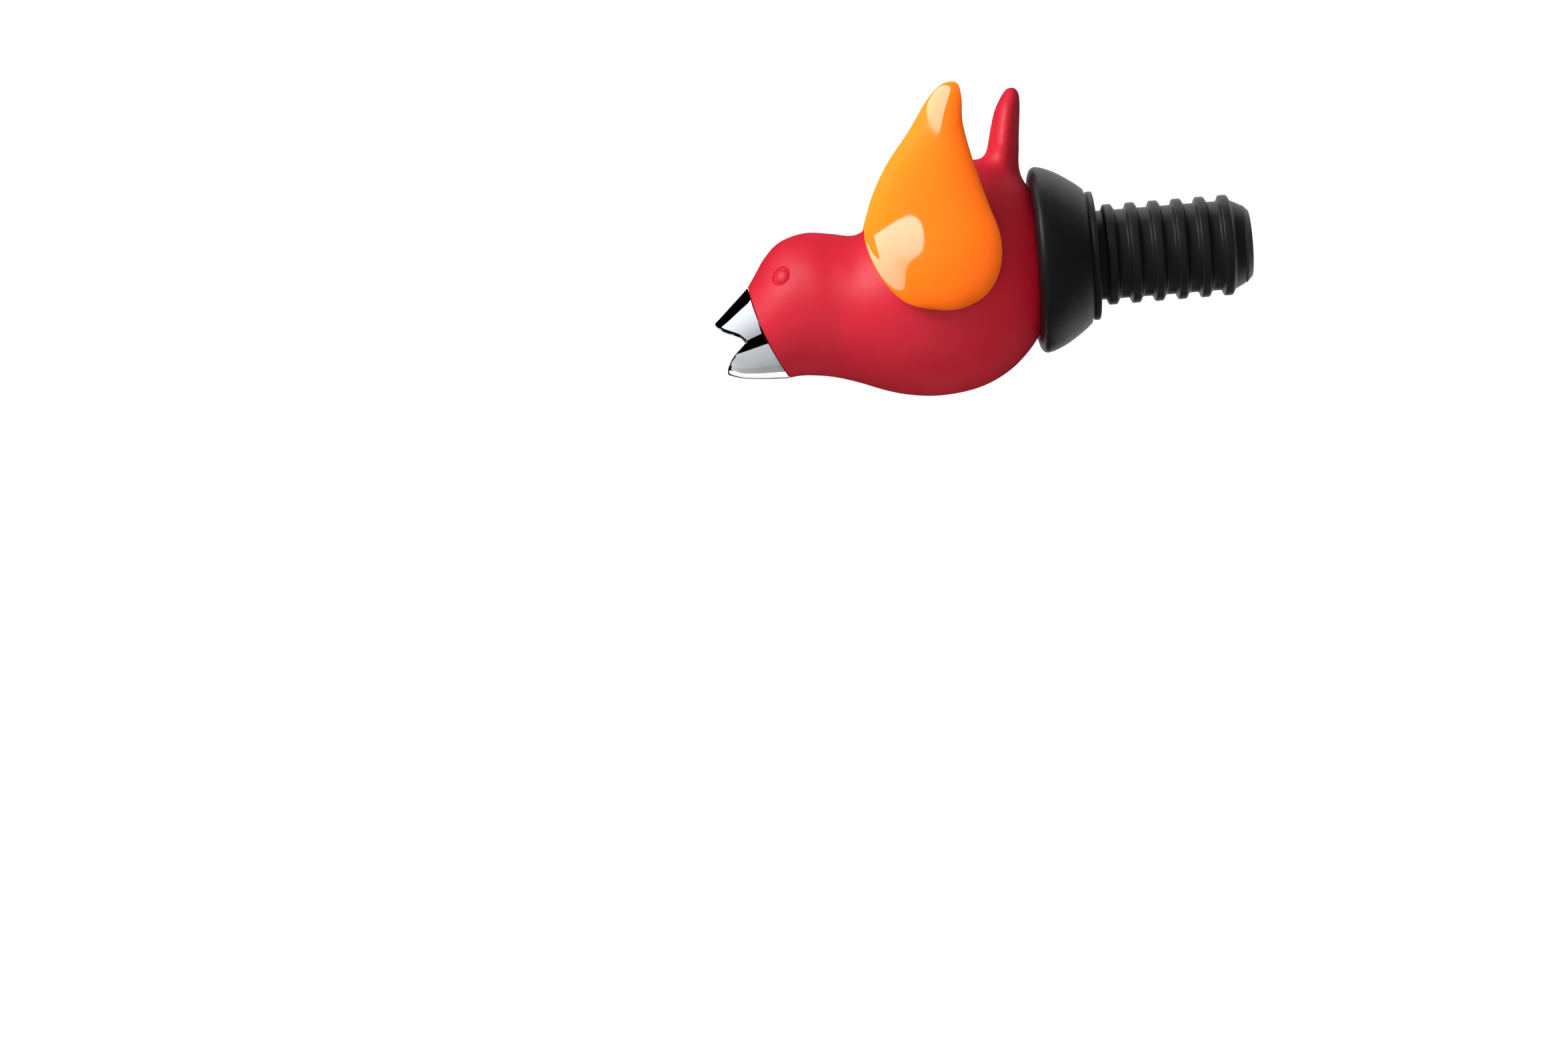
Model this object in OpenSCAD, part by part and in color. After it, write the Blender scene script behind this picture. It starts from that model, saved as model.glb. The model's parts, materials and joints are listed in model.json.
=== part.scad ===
// Bird-shaped wine pourer with a rubber bottle plug and two wings that tip on a weighted axle.
// Origin: centre of the collar face that seats on the bottle mouth. +X runs into the bottle,
// +Z is the bird's back, and the two sides of the bird face -Y (left) and +Y (right).

/* [Body] */
// Length from the base inside the drip collar to the middle of the beak joint
body_length = 54; // [46:0.5:64]
// Height of the belly, breast to back
body_height = 44.6; // [38:0.2:52]
// Width across the belly
body_width = 39; // [32:0.5:46]
// Wall of the two body shells
shell_wall = 1.8; // [1.2:0.1:2.4]
// Distance from the bottle seat to the base of the body
body_standoff = 9.5; // [9:0.1:12]
// Height of the tail tip above the middle of the belly
tail_height = 35.4; // [32:0.2:40]
// Width across the tail
tail_width = 13; // [9:0.5:15]

/* [Beak] */
// Diameter of the beak where it meets the head
beak_root_d = 19; // [17:0.2:20]
// Length of the beak from the joint to the lower tip
beak_length = 10.4; // [8:0.2:13]
// Angle of the beak below the plug axis
beak_tilt = 20.7; // [14:0.1:26]
// Wall of the plated beak
beak_wall = 0.9; // [0.7:0.05:1.2]
// How far the joint with the head bows towards the tip
beak_bow = 1; // [0.4:0.1:1.4]

/* [Eyes] */
// Diameter of the eye dome
eye_d = 3.2; // [2.4:0.1:4]
// Width of the groove round the eye
eye_groove = 0.4; // [0.3:0.05:0.6]

/* [Wings] */
// Length of a wing from its round end to its tip
wing_length = 42.4; // [36:0.2:50]
// Width of a wing across its round end
wing_width = 25.6; // [22:0.2:30]
// Height of the wing's dome above its back
wing_thickness = 4.5; // [4:0.1:5.5]
// Wall of the domed wing shell
wing_wall = 1.2; // [0.9:0.1:1.5]
// Gap between the belly and the back of a wing
wing_gap = 0.7; // [0.5:0.1:1.5]
// How far the wings fold from raised to lying back
wing_travel = 60; // [40:1:60]

/* [Axle] */
// Diameter of the axle
axle_d = 3; // [2.4:0.1:3.6]
// Radial running clearance of the axle in its bushes
axle_clearance = 0.05; // [0.03:0.01:0.1]
// Distance of the axle from the bottle seat
axle_from_seat = 29.5; // [27:0.5:32]
// Height of the axle above the plug axis
axle_height = 9; // [8.6:0.1:10]
// Length of the balance weight along the axle
weight_length = 10; // [8:0.5:12]

/* [Wine way] */
// Bore of the pour tube
tube_bore_d = 8; // [7:0.1:8.4]
// Wall of the pour tube
tube_wall = 0.9; // [0.7:0.1:1]
// Radius of the pour tube's bend
tube_bend_r = 30; // [24:1:40]
// How far the pour tube lies below the plug axis
tube_drop = 2; // [1.8:0.1:2.2]
// Bore of the air passage
air_bore_d = 1.8; // [1.4:0.1:2]

/* [Bottle plug] */
// Diameter over the plug's ribs
plug_d = 19.2; // [18:0.1:20.6]
// Length of the plug in the bottle neck
plug_length = 28; // [22:1:34]
// Number of ribs round the plug
rib_count = 6; // [4:1:7]
// Diameter of the rigid stem inside the plug
stem_d = 14.8; // [14.4:0.1:15.2]

/* [Drip collar] */
// Diameter of the collar's lip
collar_d = 35.6; // [32:0.2:40]
// Diameter of the ring that seats on the bottle
seat_d = 24.6; // [23:0.2:27]

/* [Hidden] */
$fn = 64;
fit = 0.05;             // radial clearance between pieces that don't move on each other

// Colours
red = [0.86, 0.16, 0.25];
orange = [1, 0.55, 0.15];
black = [0.13, 0.13, 0.14];
steel = [0.72, 0.73, 0.75];
natural = [0.9, 0.9, 0.86];

// Body skin. Each row is one section: [dorsal x, dorsal z, ventral x, ventral z, half width],
// with x as a share of the length ahead of the base, z and the width as shares of half the belly's
// height and half its width. The first row is the joint with the beak, worked out from it.
belly_z = -2;
face_root = [-body_standoff - body_length, 0, belly_z - 7.8 / 22.3 * body_height / 2];
face_row = [for (s = [1, -1]) each [
    (body_length + s * beak_root_d / 2 * sin(beak_tilt)) / body_length,
    (face_root[2] - belly_z + s * beak_root_d / 2 * cos(beak_tilt)) / (body_height / 2)]];
// The last rows lie in the drip collar's cup, so their heights and widths are shares of its radius
cup_rows = [[0.070, 0.896, 0.080, -0.945, 0.833],
    [0.022, 0.708, 0.025, -0.726, 0.712],
    [0.000, 0.639, 0.000, -0.635, 0.641]];
skin_rows = [
    concat(face_row, [beak_root_d / body_width]),
    [1.030, 0.165, 0.915, -0.738, 0.545],
    [0.992, 0.300, 0.888, -0.736, 0.592],
    [0.935, 0.422, 0.852, -0.742, 0.635],
    [0.845, 0.482, 0.800, -0.760, 0.672],
    [0.755, 0.458, 0.745, -0.793, 0.690],
    [0.668, 0.428, 0.680, -0.846, 0.748],
    [0.600, 0.535, 0.610, -0.912, 0.820],
    [0.520, 0.780, 0.530, -0.968, 0.910],
    [0.425, 0.930, 0.430, -1.000, 0.978],
    [0.320, 1.005, 0.325, -0.985, 1.000],
    [0.225, 0.990, 0.235, -0.930, 0.965],
    [0.140, 0.915, 0.150, -0.820, 0.880],
    for (r = cup_rows) [r[0], (r[1] * collar_d - 2 * belly_z) / body_height,
        r[2], (r[3] * collar_d - 2 * belly_z) / body_height, r[4] * collar_d / body_width]];
SKIN_STEPS = 32;        // rings along the body
ARC_STEPS = 14;         // points round half a ring
bow_rows = 2.5;         // rows over which the bow of the beak joint dies away

// Tail: [height share, front edge x, back edge x, half-width share], x from the seat in mm
tail_rows = [[0.36, -21.5, -13.5, 0.8], [0.5, -20.9, -13.4, 1], [0.62, -19.6, -13.1, 1],
    [0.73, -18.6, -12.8, 0.95], [0.87, -17.2, -12.25, 0.77], [0.95, -15.7, -12.1, 0.5],
    [0.99, -14.6, -12.6, 0.24], [1, -13.8, -13.2, 0.06]];

// Wing outline, tip up: [across the width, along the length] as shares, from a point near the axle
wing_shift = [-0.9, -1.4];  // from the axle to that point
wing_rows = [[0.16, 0.607], [0.225, 0.595], [0.245, 0.53], [0.24, 0.42], [0.29, 0.26], [0.37, 0.08],
    [0.448, -0.085], [0.43, -0.225], [0.32, -0.335], [0.13, -0.39], [-0.06, -0.388],
    [-0.28, -0.345], [-0.45, -0.22], [-0.54, -0.05], [-0.485, 0.1], [-0.345, 0.26],
    [-0.165, 0.4], [-0.015, 0.53], [0.085, 0.59]];
WING_STEPS = 3;         // outline points from one row to the next
WING_RINGS = 6;         // rings from the rim of a wing to its crown
wing_edge = 0.8;        // thickness of a wing at its rim

// Wine way
tube_r = tube_bore_d / 2 + tube_wall;
beak_dir = [-cos(beak_tilt), 0, -sin(beak_tilt)];
tube_corner_x = face_root[0] + (-tube_drop - face_root[2]) / tan(beak_tilt);
bend_start = tube_corner_x + tube_bend_r * tan(beak_tilt / 2);
beak_web = 1.2;         // thickness of the web that joins the beak to its socket
socket_wall = 1.3;      // wall of the beak's socket round the pour tube
socket_depth = 5;       // how far the socket reaches into the head
socket_r = tube_r + fit + socket_wall;
seal_r = 0.5;           // half the thickness of an O-ring
seal_play = 0.1;        // how much longer an O-ring's groove is than the ring
seal_groove = 1.6;      // from the end of a socket to its groove

// Plug and collar
spigot_r = tube_drop + tube_r + 2 * seal_r + 1;
spigot_length = 8.5;
neck_r = stem_d / 2;
shoulder_r = neck_r + 1.6;
shoulder_thickness = 1.5;
base_x = -body_standoff;
spigot_x = base_x - shell_wall - fit - spigot_length;
shoulder_x = base_x + fit + shoulder_thickness;
tube_seat_x = base_x - shell_wall - 1.5;
air_z = neck_r - 1.1 - air_bore_d / 2;
air_socket = 3;         // how far the air tube reaches into the core
stem_end = plug_length + 1.5;
plug_body_r = plug_d / 2 - 1.1;
rib_length = 1.4;
collar_r = collar_d / 2;
seat_r = seat_d / 2;
collar_depth = 12;      // from the bottle seat to the collar's lip
vent_r = 0.8;

// Axle, bushes and wings
axle_r = axle_d / 2;
axle_at = [-axle_from_seat, 0, axle_height];
wing_back_y = body_width / 2 + wing_gap;
back_thickness = 1;
washer_thickness = 0.4;
washer_gap = 0.2;       // end float between a washer and its bush
bush_wall = 1;
bush_flange = 0.6;
bush_length = 6;
bush_r = axle_r + axle_clearance + bush_wall;
bush_face = wing_back_y - washer_thickness - washer_gap;
axle_boss_r = bush_r + 1.3;
hub_r = axle_r + 1.7;
axle_half = wing_back_y + wing_thickness - wing_wall - fit;
flat_depth = 0.45;      // flat on each end of the axle that turns the wings

// Balance weight: a quarter of a disc that fills the room between the back and the pour tube
weight_mid = 168;       // direction of the weight from the axle with the wings raised
weight_half = 45;       // half of the quarter
weight_low = weight_mid + weight_half - 180;
weight_gap = 2.5;
weight_r = min(belly_z + body_height / 2 - shell_wall - weight_gap - axle_height,
    (axle_height + tube_drop - tube_r - weight_gap) / sin(weight_low));
weight_hub_r = axle_r + 1.7;
pin_r = 0.6;
stop_r = 1.2;
stop_gap = 0.3;
stop_at = 0.72 * weight_r;
stop_turn = asin((stop_r + stop_gap) / stop_at);
stop_inner_y = weight_length / 2 - 1.8;

// Whistle, above the pour tube and behind the axle
whistle_r = 3;
whistle_length = 3.4;
whistle_wall = 0.6;
whistle_cap_thickness = 0.6;
whistle_z = -tube_drop + tube_r + 0.35 + whistle_r;
whistle_end = spigot_x - 2;
air_tube_r = air_bore_d / 2 + 0.5;

// Dowels that line the two shells up: [x, z]
dowels = [[base_x - 0.84 * body_length, 0.32 * body_height / 2 + belly_z],
    [base_x - 0.26 * body_length, -0.62 * body_height / 2 + belly_z],
    [base_x - 0.15 * body_length, 0.66 * body_height / 2 + belly_z]];
dowel_r = 1.2;
dowel_boss_r = 2.4;
dowel_length = 2.5;

// Eyes: row along the skin and angle down from the back, and the ball whose cap is the dome
eye_row = 2.56;
eye_turn = 58.6;
eye_rise = 0.4;         // of the dome over the skin
eye_cap = eye_rise + eye_groove;
eye_ball_r = (eye_d * eye_d / 4 + eye_cap * eye_cap) / (2 * eye_cap);

// ---- Curves ----

// One Catmull-Rom step between b and c, at share f
function cr(a, b, c, d, f) = 0.5 * (2 * b + (c - a) * f + (2 * a - 5 * b + 4 * c - d) * f * f
    + (3 * b - a - 3 * c + d) * f * f * f);

// Point at u rows along an open list of rows
function along(rows, u) = let (n = len(rows) - 1, i = min(floor(u), n - 1), f = u - i,
    a = i > 0 ? rows[i - 1] : 2 * rows[0] - rows[1],
    d = i < n - 1 ? rows[i + 2] : 2 * rows[n] - rows[n - 1])
    cr(a, rows[i], rows[i + 1], d, f);

// Closed smooth outline through rows, with a number of points from each row to the next
function closed(rows, steps) = let (n = len(rows)) [for (i = [0:n - 1], j = [0:steps - 1])
    cr(rows[(i + n - 1) % n], rows[i], rows[(i + 1) % n], rows[(i + 2) % n], j / steps)];

// A section of the body at row u, in millimetres: [dorsal x, dorsal z, ventral x, ventral z, half width]
function section(u) = let (r = along(skin_rows, u))
    [base_x - r[0] * body_length, belly_z + r[1] * body_height / 2,
     base_x - r[2] * body_length, belly_z + r[3] * body_height / 2, r[4] * body_width / 2];

// Point of the skin at row u and angle a from the back, on the +Y side
function skin(u, a) = let (s = section(u), c = (1 + cos(a)) / 2, k = max(0, 1 - u / bow_rows))
    [s[0] * c + s[2] * (1 - c), s[4] * sin(a), s[1] * c + s[3] * (1 - c)]
    + beak_dir * beak_bow * k * k * sin(a) * sin(a);

function unit(v) = v / norm(v);
function skin_out(u, a) = unit(cross(
    skin(min(u + 0.03, len(skin_rows) - 1), a) - skin(max(u - 0.03, 0), a),
    skin(u, a + 1) - skin(u, a - 1)));
function lining(u, a) = skin(u, a) - shell_wall * skin_out(u, a);

// Half width of the skin beside the point [x, z]
function side(p) = let (n = 90, last = len(skin_rows) - 1,
    ahead = [for (i = [0:n]) let (s = section(i * last / n))
        (s[2] - s[0]) * (p[1] - s[1]) - (s[3] - s[1]) * (p[0] - s[0]) > 0 ? 1 : 0],
    i = max([for (i = [0:n - 1]) ahead[i] != ahead[i + 1] ? i : 0]),
    s = section((i + 0.5) * last / n), up = [s[0] - s[2], s[1] - s[3]] / 2,
    q = (p - [s[0] + s[2], s[1] + s[3]] / 2) * up / (up * up))
    s[4] * sqrt(max(0, 1 - q * q));

// How far a round post of radius r at [x, z] may run sideways and still end inside the wall
function reach(p, r) = min([for (a = [0:30:330]) side(p + r * [cos(a), sin(a)])]) - 0.3 * shell_wall;

// ---- Solids ----

// Solid through a list of loops that all have the same number of points
module loft(loops, split_caps = false) {
    n = len(loops[0]);
    m = len(loops);
    sides = [for (k = [0:m - 2], i = [0:n - 1]) let (j = (i + 1) % n)
        each [[k * n + i, k * n + j, (k + 1) * n + i], [k * n + j, (k + 1) * n + j, (k + 1) * n + i]]];
    strip = [for (i = [0:n / 2 - 2]) [i, n - 1 - i, n - 2 - i, i + 1]];
    flat = [[for (i = [0:n - 1]) n - 1 - i]];
    first = split_caps ? [for (q = strip) each [[q[0], q[1], q[2]], [q[0], q[2], q[3]]]] : flat;
    last = [for (f = first) [for (i = [len(f) - 1:-1:0]) f[i] + (m - 1) * n]];
    polyhedron([for (l = loops) each l], concat(sides, first, last), convexity = 6);
}

module along_x(x = 0, z = 0) { translate([x, 0, z]) rotate([0, 90, 0]) children(); }
module along_y(x, z, y = 0) { translate([x, y, z]) rotate([-90, 0, 0]) children(); }
module on_beak(s = 0) { translate(face_root + s * beak_dir) rotate([0, -90 - beak_tilt, 0]) children(); }
module ring(r_out, r_in, length) {
    difference() {
        cylinder(r = r_out, h = length);
        translate([0, 0, -1]) cylinder(r = r_in, h = length + 2);
    }
}
// An O-ring round the pour tube, and the groove that holds it, both from z = 0 up
module o_ring() {
    translate([0, 0, seal_r + seal_play / 2]) rotate_extrude() translate([tube_r + fit + seal_r, 0])
        circle(r = seal_r, $fn = 24);
}
module groove() {
    rotate_extrude() translate([tube_r - seal_r, 0])
        square([3 * seal_r + fit + seal_play / 2, 2 * seal_r + seal_play]);
}

// A ring of points round the beak socket's hole in the front wall, and round the neck's hole at the base
function face_hole(depth, a) = let (r = socket_r - 0.5, h = r * cos(a))
    face_root + beak_dir * (beak_bow * (1 - pow(2 * h / beak_root_d, 2)) - depth)
    + [-sin(beak_tilt), 0, cos(beak_tilt)] * h + [0, r * sin(a), 0];
function base_hole(x, a) = [x, (neck_r - 0.5) * sin(a), (neck_r - 0.5) * cos(a)];

// The shell of one side, +Y, as one closed surface: skin outside, lining inside, a wall at each end
module half_skin() {
    last = len(skin_rows) - 1;
    arc = [for (i = [0:ARC_STEPS]) 180 * i / ARC_STEPS];
    back_arc = [for (i = [ARC_STEPS:-1:0]) 180 * i / ARC_STEPS];
    loft([for (k = [0:SKIN_STEPS]) let (u = last * k / SKIN_STEPS, v = min(u, last - 1.4)) concat(
        [for (a = arc) skin(u, a)],
        [for (a = back_arc)
            k == 0 ? face_hole(0, a) :
            k == 1 ? face_hole(shell_wall + beak_bow, a) :
            k == SKIN_STEPS - 1 ? base_hole(base_x - shell_wall, a) :
            k == SKIN_STEPS ? base_hole(base_x, a) : lining(max(v, 0.9), a)])], true);
}

// Half of the tail, on the +Y side
module half_tail() {
    steps = 14;
    n = 10;
    loft([for (k = [steps:-1:0]) let (r = along(tail_rows, (len(tail_rows) - 1) * k / steps))
        concat([for (i = [0:n]) let (a = 180 * i / n)
            [(r[1] + r[2]) / 2 + (r[2] - r[1]) / 2 * cos(a), r[3] * tail_width / 2 * sin(a),
             belly_z + r[0] * tail_height]])]);
}

// Everything moulded on the inside of a shell, on the +Y side
module shell_ribs() {
    for (d = dowels) along_y(d[0], d[1]) cylinder(r = dowel_boss_r, h = reach(d, dowel_boss_r), $fn = 32);
    along_y(axle_at[0], axle_at[2], bush_face - bush_flange - bush_length)
        cylinder(r = axle_boss_r, h = bush_length);
    for (turn = [weight_mid + weight_half + stop_turn,
                 weight_mid - weight_half - wing_travel - stop_turn])
        stop_peg([axle_at[0], axle_at[2]] + stop_at * [cos(turn), sin(turn)]);
}
module stop_peg(p) {
    along_y(p[0], p[1], stop_inner_y)
        cylinder(r = stop_r, h = reach(p, stop_r) - stop_inner_y, $fn = 32);
}

// At the eye, with +z straight out of the skin
module on_eye() {
    n = skin_out(eye_row, eye_turn);
    translate(skin(eye_row, eye_turn)) rotate([0, acos(n[2]), atan2(n[1], n[0])]) children();
}

module half_shell() {
    shell_with_groove();
    on_eye() translate([0, 0, eye_rise - eye_ball_r]) sphere(r = eye_ball_r, $fn = 32);
}
module shell_with_groove() {
    difference() {
        union() {
            half_skin();
            half_tail();
            shell_ribs();
        }
        on_eye() rotate_extrude($fn = 32) translate([eye_d / 2 + eye_groove / 2, 0])
            circle(r = eye_groove, $fn = 12);
        along_y(axle_at[0], axle_at[2], bush_face - bush_flange - bush_length - 1)
            cylinder(r = bush_r + fit, h = bush_length + 2);
        on_beak(-shell_wall - 5) cylinder(r = socket_r + fit, h = shell_wall + 5 + 2 * beak_bow);
        along_x(base_x - shell_wall - 1) cylinder(r = neck_r + fit, h = shell_wall + 2);
        along_x(spigot_x) cylinder(r = spigot_r + fit, h = base_x - shell_wall - spigot_x);
        along_x(base_x - shell_wall - 1)
            rotate([0, 0, 150]) translate([shoulder_r + vent_r + 0.4, 0, 0])
                cylinder(r = vent_r, h = shell_wall + 2, $fn = 24);
    }
}

module body_left_shell() {
    color(red) mirror([0, 1, 0]) union() {
        half_shell();
        for (d = dowels) along_y(d[0], d[1], -dowel_length)
            cylinder(r = dowel_r, h = dowel_length + 1, $fn = 32);
    }
}
module body_right_shell() {
    color(red) difference() {
        half_shell();
        for (d = dowels) along_y(d[0], d[1], -1)
            cylinder(r = dowel_r + fit, h = dowel_length + 1.4, $fn = 32);
    }
}

// Plated beak: a cone with an open mouth, a web, and a socket that reaches into the head
module beak_spout() {
    r0 = beak_root_d / 2;
    slope = 0.445;
    tip_r = r0 - slope * beak_length;
    bow_r = (r0 * r0 + beak_bow * beak_bow) / (2 * beak_bow);
    web_s = beak_bow + beak_web;
    color(steel) union() {
        difference() {
            on_beak() rotate_extrude($fn = 96) polygon([
                [r0 - beak_wall, -0.01], [r0, -0.01], [r0, 0.25], [tip_r, beak_length],
                [tip_r - beak_wall, beak_length], [r0 - slope * web_s - beak_wall, web_s],
                [socket_r - 0.3, web_s], [socket_r - 0.3, -0.01]]);
            on_beak(beak_bow - bow_r) rotate([90, 0, 0])
                cylinder(r = bow_r, h = 2 * r0 + 2, center = true, $fn = 256);
            beak_mouth();
        }
        on_beak(-socket_depth) difference() {
            cylinder(r = socket_r, h = socket_depth + web_s);
            translate([0, 0, -1]) cylinder(r = tube_r + fit, h = socket_depth + web_s + 2);
            translate([0, 0, seal_groove]) groove();
        }
    }
}
// The mouth seen from the side: [along the beak, above its axis], cut right through
module beak_mouth() {
    outline = [[4.5, 0.1], [5.3, 1.85], [6.5, 3.05], [8, 4.8], [8.7, 6.2], [8.9, 8], [14, 8], [14, -6],
        [10.9, -4.2], [10.4, -3.7], [9.6, -2.8], [8.7, -1.95], [6.7, -0.9], [5.1, -0.4]];
    k = beak_length / 10.4;
    on_beak() rotate([90, 0, 0]) linear_extrude(beak_root_d + 4, center = true)
        polygon([for (p = outline) [p[1], p[0]] * k]);
}
module beak_seal() { color(black) on_beak(seal_groove - socket_depth) o_ring(); }

// Stations along the pour tube, from the core to the beak: [x, z, turn below the plug axis]
tube_stations = concat([[tube_seat_x, -tube_drop, 0]],
    [for (i = [0:6]) let (t = beak_tilt * i / 6)
        [bend_start - tube_bend_r * sin(t), -tube_drop - tube_bend_r * (1 - cos(t)), t]],
    [let (end = face_root + (beak_bow + beak_web) * beak_dir) [end[0], end[2], beak_tilt]]);

// Solid round rod along the stations, carried past both ends by spare
module tube_rod(r, spare) {
    n = 36;
    last = len(tube_stations) - 1;
    loft([for (k = [0:last]) let (s = tube_stations[k], reach = k == 0 ? -spare : k == last ? spare : 0,
            c = [s[0] - reach * cos(s[2]), 0, s[1] - reach * sin(s[2])])
        [for (i = [n - 1:-1:0]) let (a = 360 * i / n)
            c + [-sin(s[2]) * cos(a), sin(a), cos(s[2]) * cos(a)] * r]]);
}
module pour_tube() {
    color(steel) difference() {
        tube_rod(tube_r, 0);
        tube_rod(tube_bore_d / 2, 1);
    }
}
module tube_seal() { color(black) along_x(tube_seat_x - 3.5, -tube_drop) o_ring(); }

module air_tube() {
    color(steel) along_x(whistle_end - whistle_wall, air_z)
        ring(air_tube_r, air_bore_d / 2, spigot_x + air_socket - whistle_end + whistle_wall);
}
module whistle_body() {
    color(natural) difference() {
        along_x(whistle_end - whistle_length, whistle_z) cylinder(r = whistle_r, h = whistle_length);
        along_x(whistle_end - whistle_length - 1, whistle_z)
            cylinder(r = whistle_r - whistle_wall, h = whistle_length - whistle_wall + 1);
        along_x(whistle_end - 2 * whistle_wall, air_z) cylinder(r = air_tube_r + fit, h = 3 * whistle_wall);
        translate([whistle_end - whistle_length + 0.6, -1.2, whistle_z + whistle_r - 1.2]) cube([1.2, 2.4, 2]);
    }
}
module whistle_cap() {
    color(natural) along_x(whistle_end - whistle_length - whistle_cap_thickness, whistle_z) difference() {
        cylinder(r = whistle_r, h = whistle_cap_thickness);
        translate([-whistle_r + whistle_wall + 0.2, -1.2, -1]) cube([0.7, 2.4, whistle_cap_thickness + 2]);
    }
}

// Rigid core: it holds the two shells together at the base and carries the wine and the air through the plug
module stopper_core() {
    start = spigot_x;
    color(black) difference() {
        along_x() rotate_extrude() polygon([[0, start], [spigot_r, start],
            [spigot_r, base_x - shell_wall - fit], [neck_r, base_x - shell_wall - fit],
            [neck_r, base_x + fit], [shoulder_r, base_x + fit], [shoulder_r, shoulder_x],
            [neck_r, shoulder_x], [neck_r, stem_end - 1], [neck_r - 1, stem_end], [0, stem_end]]);
        along_x(start - 1, -tube_drop) cylinder(r = tube_bore_d / 2, h = stem_end - start + 2);
        along_x(start - 1, -tube_drop) cylinder(r = tube_r + fit, h = tube_seat_x + fit - start + 1);
        along_x(tube_seat_x - 3.5, -tube_drop) groove();
        along_x(start - 1, air_z) cylinder(r = air_bore_d / 2, h = stem_end - start + 2);
        along_x(start - 1, air_z) cylinder(r = air_tube_r + fit, h = air_socket + fit + 1);
    }
}

// Rubber drip collar: a shallow cup round the base of the body, and a ring that seats on the bottle
module drip_collar() {
    r = collar_r;
    outside = [[seat_r - 0.4, 0], [seat_r, -0.4], [seat_r, -0.9], [seat_r - 0.35, -1.3],
        [seat_r + 0.3, -1.5]];
    flare = [[seat_r + 0.5, -1.6], [r - 3.8, -3], [r - 2.4, -5], [r - 1.2, -7], [r - 0.35, -9],
        [r, -10.3]];
    lip = [[r, -10.3], [r - 0.12, -10.8], [r - 0.5, -11.3], [r - 1.3, -11.7], [r - 2.3, 0.05 - collar_depth],
        [r - 2.8, -collar_depth]];
    cup = [[r - 3.2, -11.6], [r - 4, -10], [r - 5, -8.8], [r - 6.4, shoulder_x]];
    color(black) along_x() rotate_extrude($fn = 96) polygon(concat([[neck_r, 0]], outside,
        smooth(flare, 3), smooth(lip, 2), smooth(cup, 3), [[neck_r, shoulder_x]]));
}
// Smooth open curve through rows
function smooth(rows, steps) = let (n = len(rows) - 1) [for (i = [0:n * steps]) along(rows, i / steps)];

module stopper_plug() {
    r = plug_d / 2;
    pitch = (plug_length - 4.5 - rib_length) / (rib_count - 1);
    ribs = [for (i = [0:rib_count - 1]) let (x = 1.5 + i * pitch)
        each [[plug_body_r, x], [r, x + 0.5], [r, x + 0.5 + rib_length],
            [plug_body_r, x + 1.1 + rib_length]]];
    color(black) along_x() rotate_extrude($fn = 96) polygon(concat([[neck_r, 0], [plug_body_r, 0]], ribs,
        [[plug_body_r - 0.9, plug_length], [neck_r, plug_length]]));
}

// ---- Wings and what turns with them ----

module on_axle(y = 0) { along_y(axle_at[0], axle_at[2], y) children(); }

module bush() {
    color(natural) on_axle(bush_face - bush_flange - bush_length) difference() {
        union() {
            cylinder(r = bush_r, h = bush_length + bush_flange);
            translate([0, 0, bush_length]) cylinder(r = bush_r + 0.8, h = bush_flange);
        }
        translate([0, 0, -1]) cylinder(r = axle_r + axle_clearance, h = bush_length + bush_flange + 2);
    }
}
module axle_bush_right() { bush(); }
module axle_bush_left() { mirror([0, 1, 0]) bush(); }

// The hole in a wing's hub, flat on its lower side like the end of the axle, from z = 0 up
module axle_socket(length) {
    difference() {
        cylinder(r = axle_r + fit / 2, h = length);
        translate([-axle_r - 1, axle_r - flat_depth + fit / 2, -1]) cube([2 * axle_r + 2, axle_r, length + 2]);
    }
}
module wing_axle() {
    color(steel) difference() {
        on_axle(-axle_half) cylinder(r = axle_r, h = 2 * axle_half);
        for (y = [wing_back_y, -axle_half - 1])
            translate([axle_at[0] - axle_r - 1, y, axle_at[2] - 2 * axle_r + flat_depth])
                cube([2 * axle_r + 2, axle_half - wing_back_y + 1, axle_r]);
        weight_pin_bore();
    }
}
module weight_pin_bore() {
    translate(axle_at) rotate([0, 90 - weight_mid, 0]) translate([0, 0, -weight_hub_r - 1])
        cylinder(r = pin_r, h = weight_hub_r + 1 + axle_r + 2.5, $fn = 32);
}
module weight_pin() {
    color(steel) translate(axle_at) rotate([0, 90 - weight_mid, 0]) translate([0, 0, -weight_hub_r])
        cylinder(r = pin_r, h = weight_hub_r + axle_r + 2, $fn = 32);
}
module wing_counterweight() {
    color(steel) difference() {
        on_axle(-weight_length / 2) union() {
            cylinder(r = weight_hub_r, h = weight_length);
            intersection() {
                cylinder(r = weight_r, h = weight_length, $fn = 96);
                rotate([0, 0, -weight_mid - weight_half]) cube([2 * weight_r, 2 * weight_r, weight_length]);
            }
        }
        on_axle(-weight_length / 2 - 1) cylinder(r = axle_r, h = weight_length + 2);
        weight_pin_bore();
    }
}
module washer() {
    color(natural) on_axle(wing_back_y - washer_thickness)
        ring(bush_r + 0.7, axle_r + fit, washer_thickness);
}
module axle_washer_right() { washer(); }
module axle_washer_left() { mirror([0, 1, 0]) washer(); }

wing_outline = [for (p = closed(wing_rows, WING_STEPS))
    [p[0] * wing_width, p[1] * wing_length] + wing_shift];
crown = wing_shift + [-1, -1.5];  // top of the dome, from the axle
function dome(share) = wing_edge + (wing_thickness - wing_edge) * pow(1 - share * share, 0.8);
function wing_ring(share, y) = [for (p = wing_outline) let (q = crown + share * (p - crown))
    axle_at + [q[0], y + wing_back_y, q[1]]];

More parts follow.
